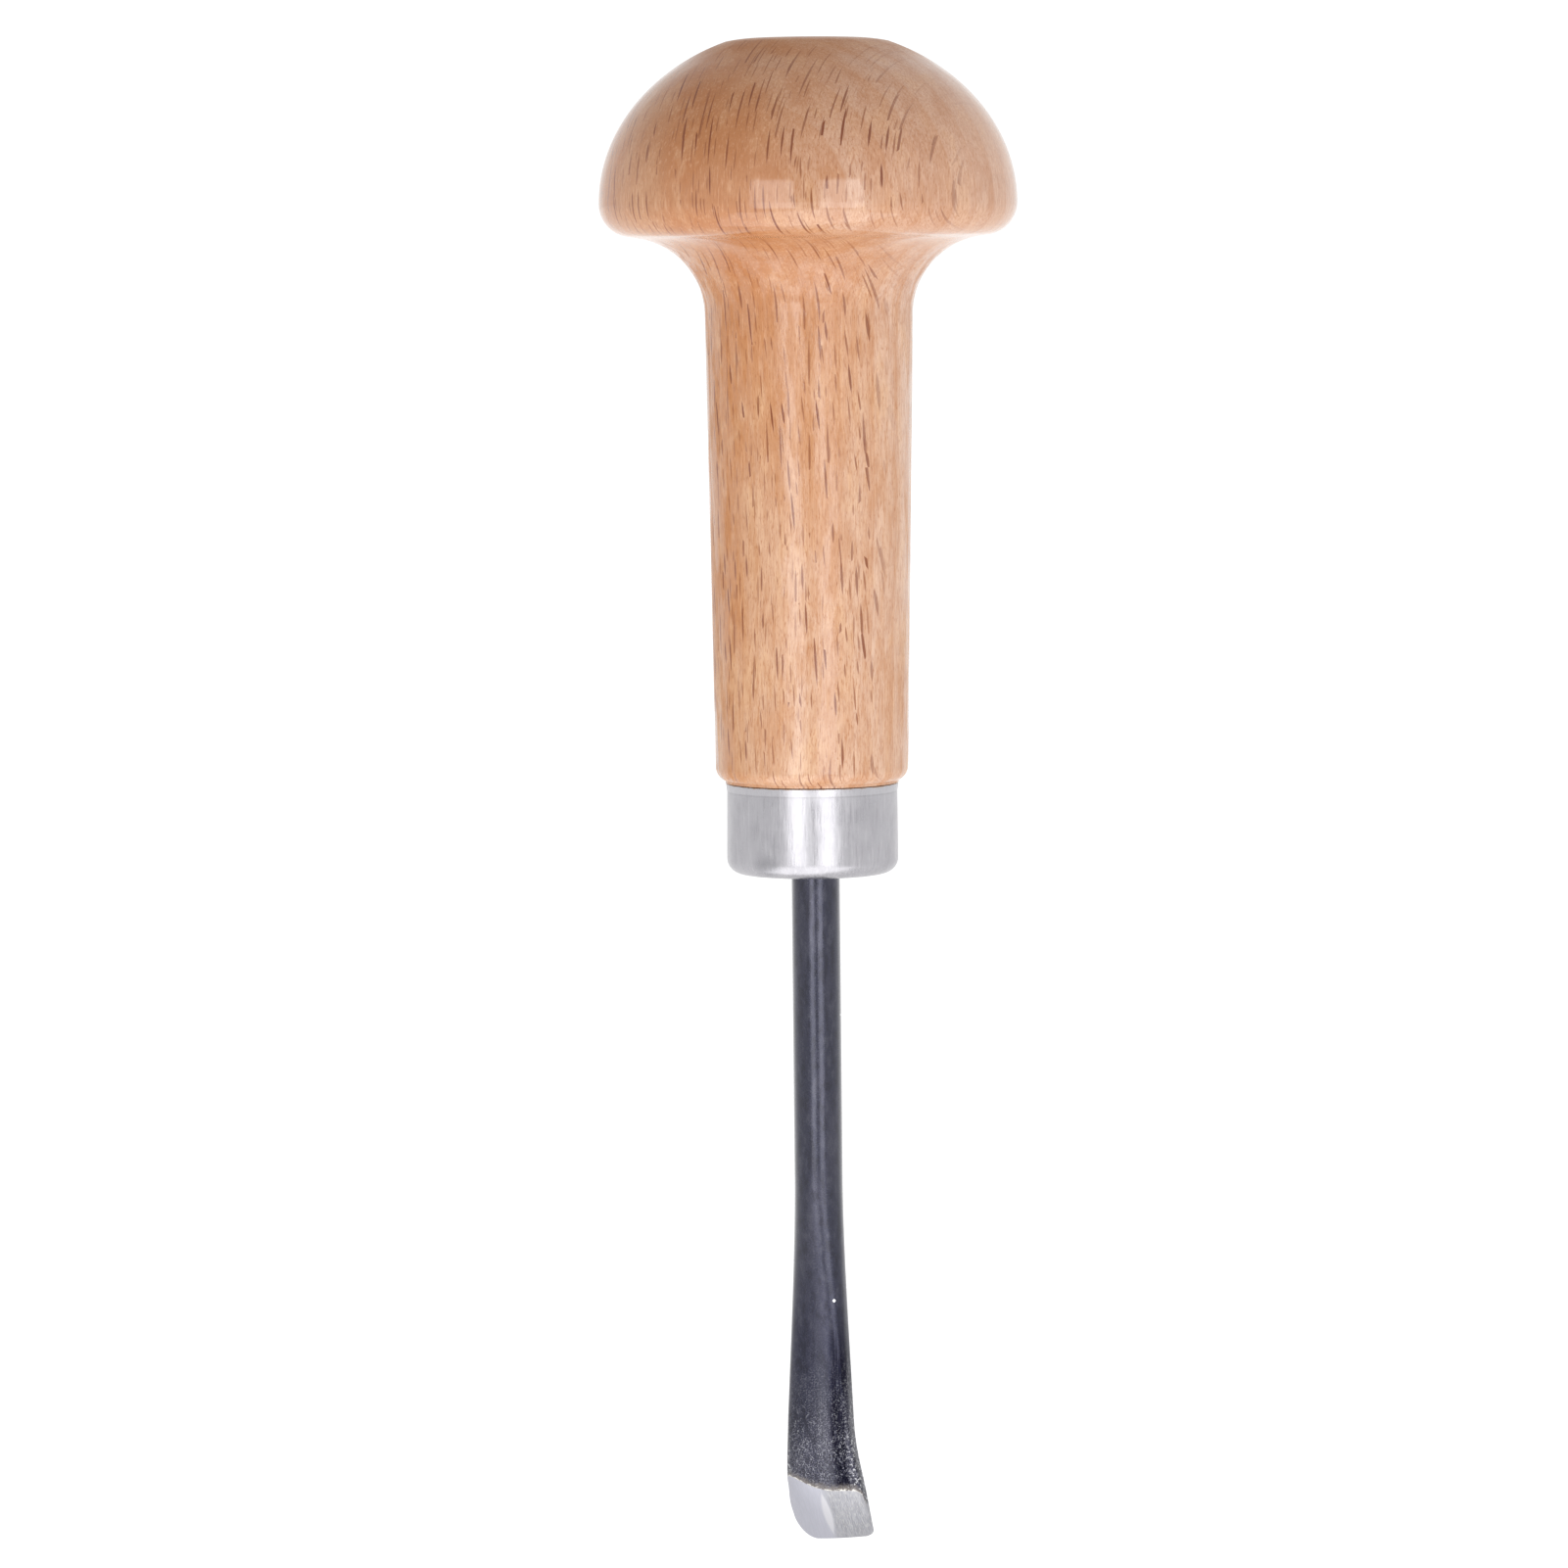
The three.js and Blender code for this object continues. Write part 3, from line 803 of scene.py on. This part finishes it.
def blade_zones(s):
    """Where things lie on the blade.

    plumb_x and plumb_z are the position without the blade's lean, and side the distance right of
    the bevel's heel. height is how far a point stands outside the grinding surface, so it falls
    below zero on the black steel above the heel. near_tip is 1 from just above the heel downwards,
    ground is 1 on the bevel, and rough_end grows to 1 towards the heel.
    """
    plumb_x = s.math("MULTIPLY_ADD", s.z, BLADE_LEAN, s.math("SUBTRACT", s.x, BLADE_OFFSET))
    plumb_z = s.math("MULTIPLY_ADD", plumb_x, -BLADE_LEAN, s.z)
    towards = s.vector("SUBTRACT", s.join(plumb_x, s.y, plumb_z), tuple(BEVEL_HEEL))
    outward = Vector((0, -1, -BEVEL_SLOPE)).normalized()
    proud = s.vector("DOT_PRODUCT", towards, tuple(outward))
    side = s.split(towards)[0]
    from_axis = s.join(side, s.math("ADD", proud, BEVEL_RADIUS), 0)
    height = s.math("SUBTRACT", s.vector("LENGTH", from_axis), BEVEL_RADIUS)
    near_tip = s.fade(s.z, BEVEL_HEEL.z + 3.2, BEVEL_HEEL.z + 2.4)
    on_surface = s.math("MULTIPLY", s.fade(height, -0.035, -0.012), near_tip)
    # The sides below the heel are ground bright as well.
    wall = s.fade(s.z, BEVEL_HEEL.z - 1.3, BEVEL_HEEL.z - 1.6)
    bright_wall = s.math("MULTIPLY", wall, s.fade(s.facing(0), 0.6, 0.8))
    return SimpleNamespace(
        plumb_x=plumb_x,
        plumb_z=plumb_z,
        side=side,
        height=height,
        near_tip=near_tip,
        ground=s.math("MAXIMUM", on_surface, bright_wall),
        rough_end=s.fade(s.z, -118, -131),
    )


def reflection_bands(s, zones, drawn):
    """A painted highlight band along the middle of the forged part, and a band of painted dark
    reflection along its right.
    """
    light = s.band(zones.plumb_x, -0.2, 0.7, 1.0, 1.7)
    light = s.math("MULTIPLY", light, s.fade(s.z, -114, -127, 0, 0.35))
    dark = s.band(zones.plumb_x, 1.4, 1.9, 2.7, 3.2)
    dark = s.math("MULTIPLY", dark, s.fade(s.z, -114, -124))
    dark = s.math("MULTIPLY", dark, s.fade(drawn, 0.7, 0.4, 0.3, 1))
    return light, dark


def pinholes(s):
    """A few bare specks down the shank."""
    scaled = s.vector("DIVIDE", s.position, (PINHOLE_CELL,) * 3)
    nearest, colour = s.cells(scaled)
    spot = s.fade(s.vector("LENGTH", s.vector("SUBTRACT", scaled, nearest)), 0.07, 0.045)
    return s.math("MULTIPLY", spot, s.math("LESS_THAN", s.split(colour)[0], 0.22))


def black_oxide(s, zones, grain, highlight_band, dark_reflection_band):
    """Black steel, more speckled towards the heel and rubbed bright along its edges."""
    patches = s.stretched_noise(s.position, (1.6, 1.6, 0.7), 3, 0.6)
    cloud = s.stretched_noise(s.position, (0.6, 0.6, 0.15))
    black = s.mix(s.fade(cloud, 0.35, 0.7), (0.013, 0.014, 0.034), (0.025, 0.025, 0.047))
    black = s.mix(s.fade(grain, 0.54, 0.75, 0, 0.5), black, (0.085, 0.085, 0.105))
    black = s.mix(s.fade(patches, 0.5, 0.36, 0, 0.6), black, (0.004, 0.004, 0.014))
    black = s.mix(s.fade(patches, 0.52, 0.7, 0, 0.5), black, (0.055, 0.055, 0.077))
    # Painted highlight and painted dark reflection bands on the forged part.
    black = s.mix(highlight_band, black, (0.085, 0.085, 0.107))
    black = s.mix(dark_reflection_band, black, (0.008, 0.008, 0.014))

    # Dark pits and bright worn grains near the heel.
    pits = s.math("MULTIPLY", s.fade(grain, 0.5, 0.4), s.math("MULTIPLY", zones.rough_end, 0.9))
    black = s.mix(pits, black, (0.002, 0.002, 0.005))
    bright_grain = s.math("MULTIPLY", s.fade(grain, 0.53, 0.64), s.fade(patches, 0.3, 0.6))
    bright_grain = s.math("MULTIPLY", bright_grain, s.math("MULTIPLY", zones.rough_end, 0.85))
    black = s.mix(bright_grain, black, (0.25, 0.25, 0.27))

    # Chips along both edges.
    half = s.fade(s.z, -104, BEVEL_HEEL.z, SHANK_RADIUS, TIP_HALF_WIDTH)
    edge = s.math("DIVIDE", s.math("ABSOLUTE", zones.plumb_x), half)
    chips = s.fade(s.noise(s.position, 3.4, 3, 0.6), 0.54, 0.62)
    chips = s.math("MULTIPLY", chips, zones.rough_end)
    rubbed = s.math("MULTIPLY", s.fade(edge, 0.80, 0.95), chips)
    black = s.mix(s.math("MULTIPLY", rubbed, 0.8), black, (0.42, 0.42, 0.44))

    # The scuffed heel, with a thin bright lip where the grinding begins.
    ragged = s.math("MULTIPLY_ADD", s.noise(s.position, 2.6, 3, 0.65), 0.22, zones.height)
    scuffed = s.math("MULTIPLY", s.fade(ragged, -0.12, 0.10), zones.near_tip)
    black = s.mix(s.math("MULTIPLY", scuffed, 0.6), black, (0.21, 0.185, 0.165))
    lip = s.math("MULTIPLY", s.fade(ragged, 0.055, 0.085), zones.near_tip)
    black = s.mix(lip, black, (0.50, 0.485, 0.46))
    return s.mix(pinholes(s), black, (0.8, 0.8, 0.82))


def ground_steel(s, zones, scratches, fine, coarse_side):
    """The bevel: a smoother left half, a coarser right half and a painted highlight streak between
    them, as on a soft ridge.
    """
    smooth = s.mix(s.fade(scratches, 0.3, 0.7), (0.405, 0.405, 0.455), (0.375, 0.375, 0.42))
    worn = s.mix(s.fade(scratches, 0.35, 0.65), (0.335, 0.335, 0.36), (0.265, 0.265, 0.285))
    bright = s.mix(coarse_side, smooth, worn)
    scored = s.math("MULTIPLY", s.fade(fine, 0.5, 0.66), coarse_side)
    bright = s.mix(s.math("MULTIPLY", scored, 0.6), bright, (0.46, 0.455, 0.455))
    # Painted highlight: a lens-shaped bright streak down the bevel.
    ridge_middle = BEVEL_HEEL.z - 2.7
    down = s.math("DIVIDE", s.math("SUBTRACT", ridge_middle, zones.plumb_z), 2.3)
    lens = s.math("SUBTRACT", 1, s.math("MULTIPLY", down, down), clamped=True)
    off_ridge = s.math("ABSOLUTE", s.math("ADD", zones.side, 0.5))
    ridge_highlight = s.math("SUBTRACT", s.math("MULTIPLY", lens, 0.5), off_ridge)
    return s.mix(s.fade(ridge_highlight, -0.08, 0.22, 0, 0.9), bright, (0.52, 0.515, 0.54))


def blade_steel():
    s = Shader("black_oxide_steel")
    zones = blade_zones(s)
    grain = s.noise(s.position, 8, 3, 0.7)
    drawn = s.stretched_noise(s.position, (6, 6, 0.3), 3, 0.55)
    highlight_band, dark_reflection_band = reflection_bands(s, zones, drawn)
    black = black_oxide(s, zones, grain, highlight_band, dark_reflection_band)

    scratches = s.stretched_noise(s.position, (9, 1.4, 0.5), 3, 0.6)
    fine = s.stretched_noise(s.position, (16, 3, 1.2))
    coarse_side = s.fade(zones.side, -0.9, 0.4)
    bright = ground_steel(s, zones, scratches, fine, coarse_side)

    relief = s.math("MULTIPLY_ADD", drawn, 0.35, s.math("MULTIPLY", grain, 0.5))
    relief = s.math("MULTIPLY_ADD", s.math("MULTIPLY", grain, zones.rough_end), 1.6, relief)
    score_marks = s.math("MULTIPLY", s.math("MULTIPLY_ADD", fine, coarse_side, scratches), 0.8)
    normal = s.bump(s.mix_value(zones.ground, relief, score_marks), 0.014)
    # The oil on the black steel is thinner on the forged part, and mostly gone from the band of
    # painted dark reflection.
    bare = s.math("MAXIMUM", zones.ground, s.math("MULTIPLY", dark_reflection_band, 0.75))
    oil = s.fade(s.z, -108, -122, 0.97, 0.58)
    return s.surface(
        Base_Color=s.mix(zones.ground, black, bright),
        Metallic=1.0,
        Roughness=s.mix_value(zones.ground, s.fade(grain, 0.3, 0.7, 0.2, 0.3), 0.33),
        Normal=normal,
        Coat_Weight=s.math("SUBTRACT", oil, bare, clamped=True),
        Coat_Roughness=0.13,
        Coat_Normal=normal,
    )


def cured_epoxy():
    s = Shader("cured_epoxy")
    cloud = s.noise(s.position, 0.8, 3)
    bubbles = s.noise(s.position, 4, 2)
    tone = s.mix(s.fade(cloud, 0.3, 0.7), (0.62, 0.50, 0.26), (0.52, 0.40, 0.18))
    return s.surface(
        Base_Color=tone,
        Roughness=s.fade(cloud, 0.3, 0.7, 0.22, 0.34),
        Normal=s.bump(bubbles, 0.02),
    )


def pale_floor():
    s = Shader("pale_floor")
    mottle = s.noise(s.position, 0.004, 2)
    tone = s.mix(mottle, (0.86, 0.86, 0.86), (0.88, 0.88, 0.88))
    return s.surface(
        Base_Color=tone,
        Roughness=0.9,
        Emission_Color=(1, 1, 1, 1),
        Emission_Strength=0.5,
    )


# ----------------------------------------------------------------------------------------- scene


def round_direction(azimuth):
    """Level unit vector from the tool's axis at that azimuth: 0 is -Y, and 90 is +X."""
    a = math.radians(azimuth)
    return Vector((math.sin(a), -math.cos(a), 0))


def make_camera():
    data = bpy.data.cameras.new("camera")
    data.lens = LENS_MM
    data.sensor_width = SENSOR_MM
    data.clip_start = 0.05
    data.clip_end = 60
    camera = bpy.data.objects.new("camera", data)
    bpy.context.scene.collection.objects.link(camera)
    out = round_direction(VIEW_AZIMUTH)
    right = round_direction(VIEW_AZIMUTH + 90)
    up = Vector((0, 0, 1))
    camera.location = (out * VIEW_DISTANCE - right * VIEW_SIDESTEP + up * VIEW_HEIGHT) * MM
    tilt = math.radians(VIEW_TILT)
    look = -out * math.cos(tilt) - up * math.sin(tilt)
    camera.rotation_mode = "QUATERNION"
    level = look.to_track_quat("-Z", "Y")
    camera.rotation_quaternion = level @ Matrix.Rotation(VIEW_ROLL, 3, "Z").to_quaternion()
    bpy.context.scene.camera = camera


def make_softbox(name, place, aim, width, length, radiance):
    """A rectangular light that faces the point aim. radiance is relative to a white card."""
    data = bpy.data.lights.new(name, "AREA")
    data.shape = "RECTANGLE"
    data.size = width
    data.size_y = length
    data.energy = radiance * math.pi * width * length
    light = bpy.data.objects.new(name, data)
    bpy.context.scene.collection.objects.link(light)
    light.location = place
    light.rotation_mode = "QUATERNION"
    light.rotation_quaternion = (aim - place).to_track_quat("-Z", "Y")
    light.visible_camera = False


def make_lights():
    """Two upright softboxes on the camera's side, and a light below the tip that faces upwards."""
    aim = Vector((0, 0, SOFTBOX_HEIGHT))
    for name, azimuth in SOFTBOX_AZIMUTHS.items():
        place = round_direction(azimuth) * SOFTBOX_DISTANCE + aim
        make_softbox(name, place, aim, SOFTBOX_WIDTH, SOFTBOX_LENGTH, SOFTBOX_RADIANCE)
    place = round_direction(VIEW_AZIMUTH) * REFLECTOR_DISTANCE + Vector((0, 0, REFLECTOR_HEIGHT))
    above = place + Vector((0, 0, 1))
    make_softbox(
        "reflector_low", place, above, REFLECTOR_WIDTH, REFLECTOR_LENGTH, REFLECTOR_RADIANCE
    )


def make_world():
    """White surroundings: dimmer overhead and on the camera's side, and brighter on the right."""
    world = bpy.data.worlds.new("studio")
    bpy.context.scene.world = world
    world.use_nodes = True
    n = NodeBuilder(world.node_tree)
    direction = n.node("TexCoord").outputs["Generated"]
    up = n.split(direction)[2]
    rightward = n.vector("DOT_PRODUCT", direction, tuple(round_direction(VIEW_AZIMUTH + 90)))
    frontward = n.vector("DOT_PRODUCT", direction, tuple(round_direction(VIEW_AZIMUTH)))
    horizon_to_top = n.fade(up, 0.14, 0.9, 1.08, 0.6)
    left_to_right = n.math("MULTIPLY_ADD", rightward, n.fade(up, 0, 0.8, 0.05, 0.4), 1)
    camera_side = n.fade(frontward, 0.8, 0.98, 1, 0.3)
    strength = n.math("MULTIPLY", horizon_to_top, left_to_right)
    strength = n.math("MULTIPLY", strength, camera_side)
    background = world.node_tree.nodes["Background"]
    n.feed(background.inputs["Color"], (1, 1, 1, 1))
    n.feed(background.inputs["Strength"], strength)


def make_floor():
    angles = [2 * math.pi * i / FLOOR_STEPS for i in range(FLOOR_STEPS)]
    points = [
        (radius * math.cos(a), radius * math.sin(a), -FLOOR_DEPTH)
        for radius in (FLOOR_RADIUS, FLOOR_MIDDLE_RADIUS)
        for a in angles
    ]
    faces = [tuple(range(FLOOR_STEPS, 2 * FLOOR_STEPS))]
    for i in range(FLOOR_STEPS):
        j = (i + 1) % FLOOR_STEPS
        faces.append((i, j, FLOOR_STEPS + j, FLOOR_STEPS + i))
    floor = mesh_object("floor", points, faces)
    floor.data.materials.append(pale_floor())


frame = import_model()

handle = make_handle()
handle.data.materials.append(lacquered_beech())
ferrule = make_ferrule()
ferrule.data.materials.append(plated_steel())
blade = make_blade()
blade.data.materials.clear()
blade.data.materials.append(blade_steel())

for piece, node, slot in (
    (handle, "handle", "beech"),
    (ferrule, "ferrule", "plated_steel"),
    (blade, "blade", "black_steel"),
):
    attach(piece, "root")
    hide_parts(node)

adhesive = frame["nodes"]["tang_adhesive"]
adhesive.data.materials.clear()
adhesive.data.materials.append(cured_epoxy())

make_floor()
make_world()
make_lights()
make_camera()
bpy.context.scene.view_settings.view_transform = "Standard"
